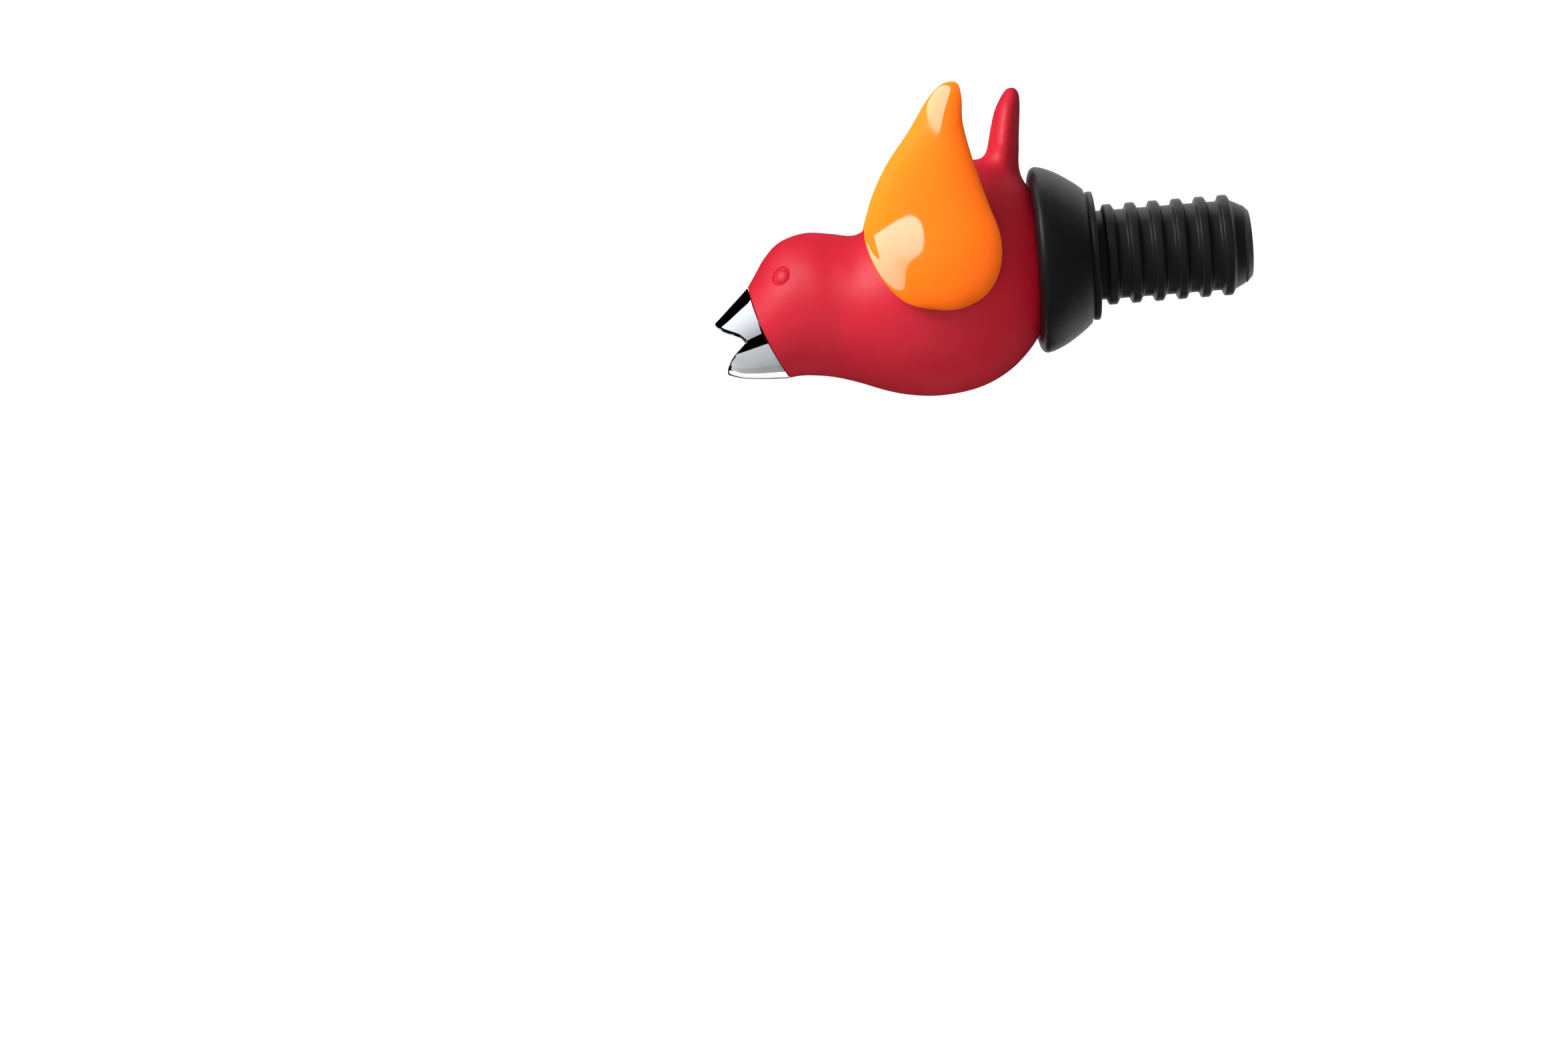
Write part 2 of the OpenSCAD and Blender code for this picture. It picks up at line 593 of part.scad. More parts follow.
// Domed shell of one wing, +Y side, hollow behind, with a hub that the flat end of the axle turns
module wing_shell() {
    inset = 1 - 2 * wing_wall / wing_width;
    rings = [for (j = [0:WING_RINGS]) 1 - 0.9 * j / WING_RINGS];
    color(orange) difference() {
        union() {
            loft(concat([for (j = [WING_RINGS:-1:0])
                    wing_ring(rings[j], max(dome(rings[j]), back_thickness + 0.3))],
                [wing_ring(1, back_thickness)],
                [for (s = rings) wing_ring(s * inset, max(dome(s) - wing_wall, back_thickness))]));
            on_axle(wing_back_y) cylinder(r = hub_r, h = wing_thickness - wing_wall / 2);
        }
        on_axle(wing_back_y - 1) axle_socket(axle_half - wing_back_y + 1 + fit);
    }
}
module wing_back() {
    color(orange) difference() {
        translate([axle_at[0], wing_back_y + back_thickness, axle_at[2]]) rotate([90, 0, 0])
            linear_extrude(back_thickness) polygon(wing_outline);
        on_axle(wing_back_y - 1) cylinder(r = hub_r + fit, h = back_thickness + 2);
    }
}
module wing_right_shell() { wing_shell(); }
module wing_right_back() { wing_back(); }
module wing_left_shell() { mirror([0, 1, 0]) wing_shell(); }
module wing_left_back() { mirror([0, 1, 0]) wing_back(); }

body_left_shell();
body_right_shell();
beak_spout();
beak_seal();
pour_tube();
tube_seal();
air_tube();
whistle_body();
whistle_cap();
stopper_core();
drip_collar();
stopper_plug();
axle_bush_left();
axle_bush_right();
wing_axle();
wing_counterweight();
weight_pin();
axle_washer_left();
axle_washer_right();
wing_left_shell();
wing_left_back();
wing_right_shell();
wing_right_back();
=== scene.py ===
import json
import math

import bmesh
import bpy
import numpy as np
from mathutils import Matrix, Vector
from mathutils.bvhtree import BVHTree


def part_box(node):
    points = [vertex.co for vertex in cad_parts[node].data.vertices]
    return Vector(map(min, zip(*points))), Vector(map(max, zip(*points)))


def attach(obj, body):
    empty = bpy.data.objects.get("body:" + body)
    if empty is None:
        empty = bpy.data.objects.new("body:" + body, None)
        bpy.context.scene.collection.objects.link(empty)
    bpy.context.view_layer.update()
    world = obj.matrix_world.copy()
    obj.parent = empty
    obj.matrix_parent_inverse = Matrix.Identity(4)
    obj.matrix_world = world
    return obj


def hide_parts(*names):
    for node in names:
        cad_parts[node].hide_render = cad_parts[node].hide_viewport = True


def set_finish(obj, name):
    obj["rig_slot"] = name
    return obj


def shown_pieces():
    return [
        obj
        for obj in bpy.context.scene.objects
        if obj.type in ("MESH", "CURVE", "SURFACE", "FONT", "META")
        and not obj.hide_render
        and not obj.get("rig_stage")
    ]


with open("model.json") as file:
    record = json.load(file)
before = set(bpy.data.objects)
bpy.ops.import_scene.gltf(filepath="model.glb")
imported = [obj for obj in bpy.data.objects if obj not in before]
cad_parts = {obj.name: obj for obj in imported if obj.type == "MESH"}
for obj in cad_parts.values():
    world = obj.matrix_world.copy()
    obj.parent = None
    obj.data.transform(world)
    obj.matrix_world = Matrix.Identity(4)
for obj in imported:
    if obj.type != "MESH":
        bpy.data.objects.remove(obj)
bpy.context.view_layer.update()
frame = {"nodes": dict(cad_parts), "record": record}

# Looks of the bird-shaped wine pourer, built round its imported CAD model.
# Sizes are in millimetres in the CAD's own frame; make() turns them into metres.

MM = 0.001


def box_mm(node):
    """Low and high corner of a CAD node, in millimetres."""
    low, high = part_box(node)
    return np.array(low) / MM, np.array(high) / MM


# ---- Sizes, from the frame and a few driving dimensions ----

body_low, body_high = box_mm("body_right_shell")
collar_low, collar_high = box_mm("drip_collar")
plug_high = box_mm("stopper_plug")[1]
plate_low, plate_high = box_mm("wing_right_back")
wing_high = box_mm("wing_right_shell")[1]
axle_low, axle_high = box_mm("wing_axle")

BASE_X = body_high[0]           # end of the body inside the collar
HALF_WIDTH = body_high[1]       # of the belly
BELLY_Z = -2.0                  # height of the belly's middle
HALF_HEIGHT = BELLY_Z - body_low[2]
TAIL_HEIGHT = body_high[2] - BELLY_Z
TAIL_HALF_WIDTH = 6.5
LENGTH = 54.0                   # from the base to the middle of the beak joint

TILT = math.radians(20.7)       # of the beak below the plug's axis
ROOT_R = 9.5                    # of the beak joint
BOW = 1.0                       # how far the beak joint bows towards the tip
FORWARD = np.array([-math.cos(TILT), 0, -math.sin(TILT)])
UP = np.array([-math.sin(TILT), 0, math.cos(TILT)])
SIDE = np.array([0.0, 1, 0])
FACE_ROOT = np.array([BASE_X - LENGTH, 0, BELLY_Z - 0.35 * HALF_HEIGHT])

AXLE = (axle_low + axle_high) / 2
WING_LENGTH = 42.4
WING_WIDTH = 25.6
PLATE_Y = plate_low[1]          # inner face of a wing, towards the body
PLATE_TOP = plate_high[1]
WING_TOP = wing_high[1]
CORE_NECK_R = 7.4               # of the stem that the collar and the plug sit on

# Sections of the skin: [dorsal x, dorsal z, ventral x, ventral z, half width] as shares, beak joint first
SKIN = np.array([
    [1 + ROOT_R * math.sin(TILT) / LENGTH,
     (FACE_ROOT[2] - BELLY_Z + ROOT_R * math.cos(TILT)) / HALF_HEIGHT,
     1 - ROOT_R * math.sin(TILT) / LENGTH,
     (FACE_ROOT[2] - BELLY_Z - ROOT_R * math.cos(TILT)) / HALF_HEIGHT,
     ROOT_R / HALF_WIDTH],
    [1.030, 0.165, 0.915, -0.738, 0.545],
    [0.992, 0.300, 0.888, -0.736, 0.592],
    [0.935, 0.422, 0.852, -0.742, 0.635],
    [0.845, 0.482, 0.800, -0.760, 0.672],
    [0.755, 0.458, 0.745, -0.793, 0.690],
    [0.668, 0.428, 0.680, -0.846, 0.748],
    [0.600, 0.535, 0.610, -0.912, 0.820],
    [0.520, 0.780, 0.530, -0.968, 0.910],
    [0.425, 0.930, 0.430, -1.000, 0.978],
    [0.320, 1.005, 0.325, -0.985, 1.000],
    [0.225, 0.990, 0.235, -0.930, 0.965],
    [0.140, 0.915, 0.150, -0.820, 0.880],
    [0.070, 0.805, 0.080, -0.665, 0.760],
    [0.022, 0.655, 0.025, -0.490, 0.650],
    [0.000, 0.600, 0.000, -0.417, 0.585]])
BOW_ROWS = 2.5                  # rows over which the bow of the joint dies away
EYE_ROW = 2.56                  # where the eye lies on the skin: row and turn from the back
EYE_TURN = math.radians(58.6)

# Tail: [height share, front x, back x, half-width share]
TAIL = np.array([
    [0.36, -21.5, -13.5, 0.8], [0.5, -20.9, -13.4, 1], [0.62, -19.6, -13.1, 1],
    [0.73, -18.6, -12.8, 0.95], [0.87, -17.2, -12.25, 0.77], [0.95, -15.7, -12.1, 0.5],
    [0.99, -14.6, -12.6, 0.24], [1, -13.8, -13.2, 0.06]])

# Wing outline: [across, along] as shares, tip up, from a point near the axle
WING_SHIFT = np.array([-0.9, -1.4])
WING_CROWN = WING_SHIFT + [-1, -1.5]
WING = np.array([
    [0.16, 0.607], [0.225, 0.595], [0.245, 0.53], [0.24, 0.42], [0.29, 0.26], [0.37, 0.08],
    [0.448, -0.085], [0.43, -0.225], [0.32, -0.335], [0.13, -0.39], [-0.06, -0.388],
    [-0.28, -0.345], [-0.45, -0.22], [-0.54, -0.05], [-0.485, 0.1], [-0.345, 0.26],
    [-0.165, 0.4], [-0.015, 0.53], [0.085, 0.59]])


# ---- Curves ----

def spline(rows, u):
    """Catmull-Rom through the padded rows at positions u."""
    u = np.asarray(u, float)
    i = np.clip(np.floor(u).astype(int), 0, len(rows) - 4)
    f = (u - i)[:, None]
    a, b, c, d = rows[i], rows[i + 1], rows[i + 2], rows[i + 3]
    return 0.5 * (2 * b + (c - a) * f + (2 * a - 5 * b + 4 * c - d) * f**2
                  + (3 * b - a - 3 * c + d) * f**3)


def along(rows, u):
    """Positions u along an open list of rows."""
    rows = np.asarray(rows, float)
    return spline(np.vstack([2 * rows[0] - rows[1], rows, 2 * rows[-1] - rows[-2]]), u)


def smooth(rows, steps):
    """Open smooth line through rows, with a number of steps from each row to the next."""
    return along(rows, np.linspace(0, len(rows) - 1, (len(rows) - 1) * steps + 1))


def closed(rows, steps):
    """Closed smooth outline through rows."""
    rows = np.asarray(rows, float)
    padded = np.vstack([rows[-1], rows, rows[:2]])
    return spline(padded, np.arange(len(rows) * steps) / steps)


def fillet(corners, steps=5):
    """Closed outline of (x, y, radius) corners, each rounded to its radius."""
    corners = np.array(corners, float)
    out = []
    for i, (x, y, radius) in enumerate(corners):
        p = np.array([x, y])
        a = corners[i - 1][:2] - p
        b = corners[(i + 1) % len(corners)][:2] - p
        la, lb = np.linalg.norm(a), np.linalg.norm(b)
        turn = math.acos(np.clip(a @ b / (la * lb), -1, 1))
        cut = min(radius / math.tan(turn / 2), 0.48 * la, 0.48 * lb)
        if cut < 1e-4:
            out.append(p)
            continue
        start, end = p + a / la * cut, p + b / lb * cut
        out += [(1 - f) ** 2 * start + 2 * f * (1 - f) * p + f * f * end
                for f in np.linspace(0, 1, steps + 1)]
    return np.array(out)


def smoothstep(low, high, x):
    t = np.clip((x - low) / (high - low), 0, 1)
    return t * t * (3 - 2 * t)


# ---- Meshes ----

def grid_faces(n, m, join_rows=False):
    """Quads over n rows of m points, each row a closed loop."""
    k, i = np.meshgrid(np.arange(n if join_rows else n - 1), np.arange(m), indexing="ij")
    a, b = k * m, (k + 1) % n * m
    j = (i + 1) % m
    return np.stack([a + i, a + j, b + j, b + i], -1).reshape(-1, 4).tolist()


def loft(loops, join_rows=False):
    """Vertices and faces through closed loops (n, m, 3), capped unless the rows join up."""
    n, m = loops.shape[:2]
    faces = grid_faces(n, m, join_rows)
    if not join_rows:
        faces += [list(range(m))[::-1], list(range((n - 1) * m, n * m))]
    return loops.reshape(-1, 3), faces


def make(name, verts, faces, sharp=40):
    """A smooth-shaded object from vertices in millimetres, its normals outward."""
    mesh = bpy.data.meshes.new(name)
    mesh.from_pydata((np.asarray(verts) * MM).tolist(), [], faces)
    bm = bmesh.new()
    bm.from_mesh(mesh)
    bmesh.ops.recalc_face_normals(bm, faces=bm.faces)
    bm.to_mesh(mesh)
    bm.free()
    mesh.shade_smooth()
    mesh.set_sharp_from_angle(angle=math.radians(sharp))
    obj = bpy.data.objects.new(name, mesh)
    bpy.context.scene.collection.objects.link(obj)
    return obj


def revolve(name, profile, turns=192, sharp=40):
    """Ring round the plug's axis from a closed profile of (x, radius)."""
    a = np.linspace(0, 2 * math.pi, turns, endpoint=False)[:, None]
    x = np.broadcast_to(profile[:, 0], (turns, len(profile)))
    loops = np.stack([x, profile[:, 1] * np.sin(a), profile[:, 1] * np.cos(a)], -1)
    return make(name, *loft(loops, join_rows=True), sharp=sharp)


def mirrored(name, verts, faces):
    """The same piece on the other side of the middle plane."""
    return make(name, np.asarray(verts) * [1, -1, 1], [f[::-1] for f in faces])


# ---- Body: one smooth surface for belly, head and tail, split on the middle plane ----

def skin(u, a):
    """Points of the skin at rows u and angles a from the back: an array (rows, angles, 3)."""
    r = along(SKIN, u)
    c = (1 + np.cos(a)) / 2
    x = np.outer(BASE_X - r[:, 0] * LENGTH, c) + np.outer(BASE_X - r[:, 2] * LENGTH, 1 - c)
    z = np.outer(BELLY_Z + r[:, 1] * HALF_HEIGHT, c) + np.outer(BELLY_Z + r[:, 3] * HALF_HEIGHT, 1 - c)
    y = np.outer(r[:, 4] * HALF_WIDTH, np.sin(a))
    fade = np.clip(1 - np.asarray(u) / BOW_ROWS, 0, None) ** 2
    return np.stack([x, y, z], -1) + BOW * np.outer(fade, np.sin(a) ** 2)[..., None] * FORWARD


def tail_loops():
    """Level loops round the tail, from inside the back to its tip."""
    r = smooth(TAIL, 8)
    a = np.linspace(0, 2 * math.pi, 72, endpoint=False)
    x = np.add.outer((r[:, 1] + r[:, 2]) / 2, 0 * a) + np.outer((r[:, 2] - r[:, 1]) / 2, np.cos(a))
    y = np.outer(r[:, 3] * TAIL_HALF_WIDTH, np.sin(a))
    z = np.broadcast_to(BELLY_Z + r[:, 0:1] * TAIL_HEIGHT, x.shape)
    return np.stack([x, y, z], -1)


def remeshed(verts, faces, voxel):
    """Vertices and quads of the union of closed surfaces, on a voxel grid."""
    obj = make("raw", verts, faces)
    step = obj.modifiers.new("union", "REMESH")
    step.mode = "VOXEL"
    step.voxel_size = voxel * MM
    mesh = bpy.data.meshes.new_from_object(obj.evaluated_get(bpy.context.evaluated_depsgraph_get()))
    co = np.zeros(len(mesh.vertices) * 3)
    mesh.vertices.foreach_get("co", co)
    quads = [list(p.vertices) for p in mesh.polygons]
    bpy.data.objects.remove(obj)
    return co.reshape(-1, 3) / MM, quads


def nearest(tree, points):
    """Nearest points on a surface, and how far away they are."""
    found = [tree.find_nearest(Vector(p)) for p in points]
    return np.array([f[0] for f in found]), np.array([f[3] for f in found])


def relax(co, faces, weight, rounds):
    """Moves each point towards the middle of its neighbours, by its weight."""
    f = np.array(faces)
    edges = np.unique(np.sort(np.concatenate([f[:, [0, 1]], f[:, [1, 2]], f[:, [2, 3]], f[:, [3, 0]]]), 1),
                      axis=0)
    a, b = edges.T
    count = np.bincount(a, minlength=len(co)) + np.bincount(b, minlength=len(co))
    for _ in range(rounds):
        total = np.stack([np.bincount(a, co[b, k], len(co)) + np.bincount(b, co[a, k], len(co))
                          for k in range(3)], 1)
        co = co + (weight * 0.6)[:, None] * (total / count[:, None] - co)
    return co


SKIN_STEPS = 200                # rows and turns of the fine grid over the skin
SKIN_TURNS = 144
LEAD = 2.0                      # how far the skin runs past the beak joint and the base, to be cut there
BEAK_SLOPE = 0.445              # how fast the beak narrows
VOXEL = 0.42                    # of the grid that joins body and tail
FILLET = 4.5                    # how far the blend between tail and back reaches
BLEND_ROUNDS = 110              # of smoothing in that blend
EVEN_ROUNDS = 14                # of smoothing over the whole body
EVEN_WEIGHT = 0.5
SHELL_WALL = 0.9
WALL_SHARE = 0.3                # most of the room behind a wall that the wall may take
SEAM_ROUND = 0.14               # rounding of the shells along the joint line
SEAM_CUTS = (0.025, 0.07, SEAM_ROUND)
RIM_ROUND = 0.22                # rounding of the shells at the beak
RIM_CUTS = (0.04, 0.11, RIM_ROUND)
JOINT_GAP = 0.06                # between the shells and the beak


def joint_shift(co):
    """How far the bowed beak joint lies ahead of a flat one, at each point."""
    h = (co - FACE_ROOT) @ UP
    return BOW * (1 - (h / ROOT_R) ** 2)


def rounding(distance, radius):
    """How far a rounded edge falls below the surface, at a distance from the edge."""
    t = np.clip(radius - distance, 0, radius)
    return radius - np.sqrt(radius**2 - t**2)


def coords(bm):
    return np.array([v.co for v in bm.verts])


def set_coords(bm, co):
    for v, p in zip(bm.verts, co):
        v.co = p


def cut(bm, point, normal, clear=False):
    """Adds a loop where a plane crosses the mesh, and can take away what lies beyond it."""
    bmesh.ops.bisect_plane(bm, geom=[*bm.verts, *bm.edges, *bm.faces], dist=1e-5,
                           plane_co=Vector(point), plane_no=Vector(normal), clear_outer=clear)


EYE_R = 1.62
EYE_RISE = 0.34                 # of the dome over the skin
GROOVE_OUT = 2.08               # outer radius of the groove round it
GROOVE_DEPTH = 0.34
EYE_FADE = (2.15, 2.8)          # radii between which the exact skin gives way to the smoothed one
EYE_PATCH = 3.0                 # radius in which the mesh is made finer


def eye_profile(r):
    """Height over the skin at a distance from the eye's middle: a dome in a ring-shaped groove."""
    dome = (EYE_RISE + GROOVE_DEPTH) * np.clip(1 - (r / EYE_R) ** 2, 0, None) ** 0.62 - GROOVE_DEPTH
    wall = -GROOVE_DEPTH * (1 - smoothstep(EYE_R + 0.12, GROOVE_OUT, r))
    return np.where(r < EYE_R, dome, wall)


def press_eye(bm, skin_tree):
    """Makes the mesh finer round the eye and moves it to the eye's profile over the skin."""
    step = 0.02
    ring = skin([EYE_ROW - step, EYE_ROW, EYE_ROW + step],
                np.array([EYE_TURN - step, EYE_TURN, EYE_TURN + step]))
    centre = ring[1, 1]
    out = np.cross(ring[2, 1] - ring[0, 1], ring[1, 2] - ring[1, 0])
    out = out / np.linalg.norm(out)
    for _ in range(3):
        near = [e for e in bm.edges
                if all((np.array(v.co) - centre) @ (np.array(v.co) - centre) < EYE_PATCH**2 for v in e.verts)]
        bmesh.ops.subdivide_edges(bm, edges=near, cuts=1, use_grid_fill=True)
    for v in bm.verts:
        d = np.array(v.co) - centre
        if d @ d > (EYE_PATCH - 0.1) ** 2:
            continue
        p = np.array(skin_tree.find_nearest(v.co)[0])
        d = p - centre
        r = np.linalg.norm(d - (d @ out) * out)
        fade = float(smoothstep(*EYE_FADE, r))
        v.co = (1 - fade) * (p + eye_profile(r) * out) + fade * np.array(v.co)


def body_surface():
    """Belly, head and tail as one surface of quads, smooth where they meet, and a tree of the bare skin."""
    a = np.linspace(0, 2 * math.pi, SKIN_TURNS, endpoint=False)
    grid = skin(np.linspace(0, len(SKIN) - 1, SKIN_STEPS), a)
    ahead = FACE_ROOT + (grid[0] - FACE_ROOT) * (1 - BEAK_SLOPE * LEAD / ROOT_R) + LEAD * FORWARD
    behind = grid[-1] + [LEAD, 0, 0]
    skin_verts, skin_faces = loft(np.concatenate([ahead[None], grid, behind[None]]))
    tail_verts, tail_faces = loft(tail_loops())
    skin_tree = BVHTree.FromPolygons(skin_verts.tolist(), skin_faces)
    tail_tree = BVHTree.FromPolygons(tail_verts.tolist(), tail_faces)
    faces = skin_faces + [[i + len(skin_verts) for i in f] for f in tail_faces]
    co, quads = remeshed(np.vstack([skin_verts, tail_verts]), faces, VOXEL)

    on_skin, to_skin = nearest(skin_tree, co)
    on_tail, to_tail = nearest(tail_tree, co)
    co = np.where((to_skin < to_tail)[:, None], on_skin, on_tail)
    blend = 1 - smoothstep(FILLET * 0.35, FILLET, np.maximum(to_skin, to_tail))
    co = relax(co, quads, blend, BLEND_ROUNDS)
    co = relax(co, quads, np.full(len(co), EVEN_WEIGHT), EVEN_ROUNDS)
    return co, quads, skin_tree


def trimmed(co, quads):
    """The +Y half of the surface as a bmesh, cut at the bowed beak joint, the base and the middle plane,
    with extra loops where its edges are rounded."""
    bm = bmesh.new()
    for p in co:
        bm.verts.new(p - FORWARD * joint_shift(p))
    bm.verts.ensure_lookup_table()
    for q in quads:
        bm.faces.new([bm.verts[i] for i in q])
    rim = FACE_ROOT - JOINT_GAP * FORWARD
    cut(bm, rim, FORWARD, clear=True)
    for depth in RIM_CUTS:
        cut(bm, rim - depth * FORWARD, FORWARD)
    set_coords(bm, [p + FORWARD * joint_shift(p) for p in coords(bm)])
    cut(bm, (BASE_X, 0, 0), (1, 0, 0), clear=True)
    cut(bm, (0, 0, 0), (0, -1, 0), clear=True)
    for y in SEAM_CUTS:
        cut(bm, (0, y, 0), (0, -1, 0))
    bmesh.ops.recalc_face_normals(bm, faces=bm.faces)
    inside = Vector((BASE_X - 20, 0, 0))
    if np.mean([f.normal @ (f.calc_center_median() - inside) for f in bm.faces]) < 0:
        bmesh.ops.reverse_faces(bm, faces=bm.faces)
    return bm


def outer_skin(bm):
    """Points of the mesh with the edges rounded at the seam and the beak, and their outward directions."""
    co = coords(bm)
    normals = np.array([v.normal for v in bm.verts])
    shifted = co - FORWARD * joint_shift(co)[:, None]
    from_rim = -JOINT_GAP - (shifted - FACE_ROOT) @ FORWARD
    drop = np.maximum(rounding(co[:, 1], SEAM_ROUND), rounding(from_rim, RIM_ROUND))
    flat = normals * [1, 0, 1]
    normals = np.where((co[:, 1] < SEAM_ROUND)[:, None], flat, normals)
    normals /= np.maximum(np.linalg.norm(normals, axis=1), 1e-9)[:, None]
    return co - normals * drop[:, None], normals


def body_half():
    """The +Y shell as a closed thin wall: its vertices and faces."""
    co, quads, skin_tree = body_surface()
    bm = trimmed(co, quads)
    press_eye(bm, skin_tree)
    bm.normal_update()
    outer, normals = outer_skin(bm)

    co = coords(bm)
    tree = BVHTree.FromBMesh(bm)
    room = []
    for p, n in zip(co, normals):
        hit = tree.ray_cast(Vector(p - 0.05 * n), Vector(-n))
        room.append(hit[3] if hit[0] is not None else 10)
    wall = np.minimum(SHELL_WALL, WALL_SHARE * np.array(room))
    inner = outer - normals * wall[:, None]
    inner[:, 1] = np.where(co[:, 1] < 1e-3, 0, np.clip(inner[:, 1], 0, None))

    n = len(outer)
    bm.verts.index_update()
    faces = [[v.index for v in f.verts] for f in bm.faces]
    rim_faces = []
    for e in bm.edges:
        if len(e.link_loops) == 1:
            a = e.link_loops[0].vert.index
            b = e.link_loops[0].link_loop_next.vert.index
            rim_faces.append([b, a, a + n, b + n])
    faces += [[i + n for i in f[::-1]] for f in faces] + rim_faces
    bm.free()
    return np.vstack([outer, inner]), faces


# ---- Wings ----

def inflate(points, tris, edge, reach):
    """Height of a sheet blown up inside its outline, from 0 at the edge to 1 at the top. The edge's slope
    dies away over the reach, so narrow stretches stand up too."""
    p = points[tris]
    area = np.abs(np.cross(p[:, 1] - p[:, 0], p[:, 2] - p[:, 0])) / 2
    n = len(points)
    load = np.zeros(n)
    pairs, weights = [], []
    for k in range(3):
        i, j, o = tris[:, k], tris[:, (k + 1) % 3], tris[:, (k + 2) % 3]
        to_i, to_j = points[i] - points[o], points[j] - points[o]
        pairs.append(np.stack([i, j], 1))
        weights.append((to_i * to_j).sum(1) / (4 * area))
        load += np.bincount(i, area / 3, n)
    pairs, weights = np.concatenate(pairs), np.concatenate(weights)
    a, b = pairs.T

    def stiffness(x):
        flow = weights * (x[a] - x[b])
        hold = load * x / reach**2
        return np.where(edge, 0, np.bincount(a, flow, n) - np.bincount(b, flow, n) + hold)

    scale = np.bincount(a, weights, n) + np.bincount(b, weights, n) + load / reach**2
    # Conjugate gradients, scaled by the diagonal
    x = np.zeros(n)
    rest = np.where(edge, 0, load)
    z = rest / scale
    d = z.copy()
    rz = rest @ z
    for _ in range(600):
        q = stiffness(d)
        step = rz / (d @ q)
        x += step * d
        rest = rest - step * q
        z = rest / scale
        rz, before = rest @ z, rz
        if rz < 1e-16:
            break
        d = z + rz / before * d
    return x / x.max()


WING_EDGE = 0.55                # height of a wing's edge over its back plate
WING_WALL = 1.2
PLATE_GAP = 0.04                # between the domed shell and the plate
DOME_POWER = 0.8
WING_REACH = 5.0                # how far in from its edge the dome keeps rising
WING_RINGS = 40


def wing_outline():
    return closed(WING, 10) * [WING_WIDTH, WING_LENGTH] + WING_SHIFT


def wing_sheet():
    """Rings over the wing's outline, from the edge to the crown, and how high each point is blown up."""
    outline = wing_outline()
    share = np.sin(np.linspace(math.pi / 2, 0.02, WING_RINGS))
    rings = WING_CROWN + share[:, None, None] * (outline - WING_CROWN)
    points = np.vstack([rings.reshape(-1, 2), WING_CROWN])
    n, m = rings.shape[:2]
    quads = np.array(grid_faces(n, m))
    last = (n - 1) * m + np.arange(m)
    fan = np.stack([last, np.roll(last, -1), np.full(m, n * m)], 1)
    tris = np.concatenate([quads[:, [0, 1, 2]], quads[:, [0, 2, 3]], fan])
    edge = np.arange(len(points)) < m
    height = inflate(points, tris, edge, WING_REACH)
    return rings, height[:-1].reshape(n, m)


def on_wing(rings, y):
    """Points of the +Y wing, over a flat grid of (across, along) and their distance from the body."""
    return np.stack([AXLE[0] + rings[..., 0], np.broadcast_to(y, rings.shape[:-1]),
                     AXLE[2] + rings[..., 1]], -1)


def wing_shell():
    """Domed shell with a hollow back: vertices and faces."""
    rings, height = wing_sheet()
    top = PLATE_TOP + WING_EDGE + (WING_TOP - PLATE_TOP - WING_EDGE) * height**DOME_POWER
    inset = 1 - 2 * WING_WALL / WING_WIDTH
    inside = WING_CROWN + inset * (rings - WING_CROWN)
    under = np.maximum(top - WING_WALL, PLATE_TOP + PLATE_GAP)
    foot = WING_CROWN + np.array([0.997, 0.985])[:, None, None] * (rings[0] - WING_CROWN)
    loops = np.concatenate([
        on_wing(rings[::-1], top[::-1]),
        on_wing(rings[0:1], PLATE_TOP + 0.30),
        on_wing(foot[0:1], PLATE_TOP + 0.10),
        on_wing(foot[1:2], PLATE_TOP + PLATE_GAP),
        on_wing(inside, under)])
    return loft(loops)


def wing_plate():
    """Flat plate with rounded edges that closes the wing's back: vertices and faces."""
    outline = wing_outline()
    mid = (PLATE_Y + PLATE_TOP) / 2
    half = (PLATE_TOP - PLATE_Y) / 2
    out = []
    for share, y in [(0.05, -1), (0.5, -1), (0.95, -1), (0.985, -0.98), (0.994, -0.85), (1.0, -0.55),
                     (1.0, 0.55), (0.994, 0.85), (0.985, 0.98), (0.95, 1), (0.5, 1), (0.05, 1)]:
        out.append(on_wing(WING_CROWN + share * (outline - WING_CROWN), mid + half * y))
    return loft(np.array(out))


# ---- Beak ----

BEAK_WALL = 0.9
WEB_S = 2.2                     # front of the web that joins the beak to its socket
TUBE_R = 4.95                   # bore of the socket
SOCKET_R = 6.3
SOCKET_S = -5.0                 # end of the socket inside the head
RING_S = (-2.3, -3.4)           # groove for the O-ring in the socket
RING_R = 5.9
BEAK_TURNS = 480

# Beak lines: [distance from the joint, radius], along the top and along the bottom
BEAK_TOP = np.array([[0, 9.5], [2, 8.64], [4.16, 7.76], [6.7, 6.70], [8.7, 5.95], [10.5, 5.4]])
BEAK_BOTTOM = np.array([[0, 9.5], [2.77, 8.29], [5.5, 7.05], [8.17, 5.65], [9.83, 4.38], [10.5, 3.72]])

# Open mouth seen from the side: [distance from the joint, height], from below to above
MOUTH = np.array([[10.6, -4.9], [10.3, -3.6], [9.6, -2.8], [8.7, -1.98], [7.7, -1.38], [6.7, -0.93],
                  [5.7, -0.52], [4.95, -0.2], [4.68, 0.15], [4.8, 0.6], [5.3, 1.75], [6.5, 3.05],
                  [7.4, 4.0], [8, 4.8], [8.5, 5.8], [8.7, 6.6]])


def beak_radius(s, cosine):
    """Outer radius at a distance from the joint, for the cosine of the turn from the top."""
    top = smooth(BEAK_TOP, 12)
    bottom = smooth(BEAK_BOTTOM, 12)
    share = (1 + cosine) / 2
    return share * np.interp(s, top[:, 0], top[:, 1]) + (1 - share) * np.interp(s, bottom[:, 0], bottom[:, 1])


def beak_point(s, r, turn):
    """Points at a distance from the joint, a radius from the beak's axis and a turn from the top."""
    s, r = np.asarray(s)[..., None], np.asarray(r)[..., None]
    return (FACE_ROOT + s * FORWARD + r * np.cos(turn)[..., None] * UP + r * np.sin(turn)[..., None] * SIDE)


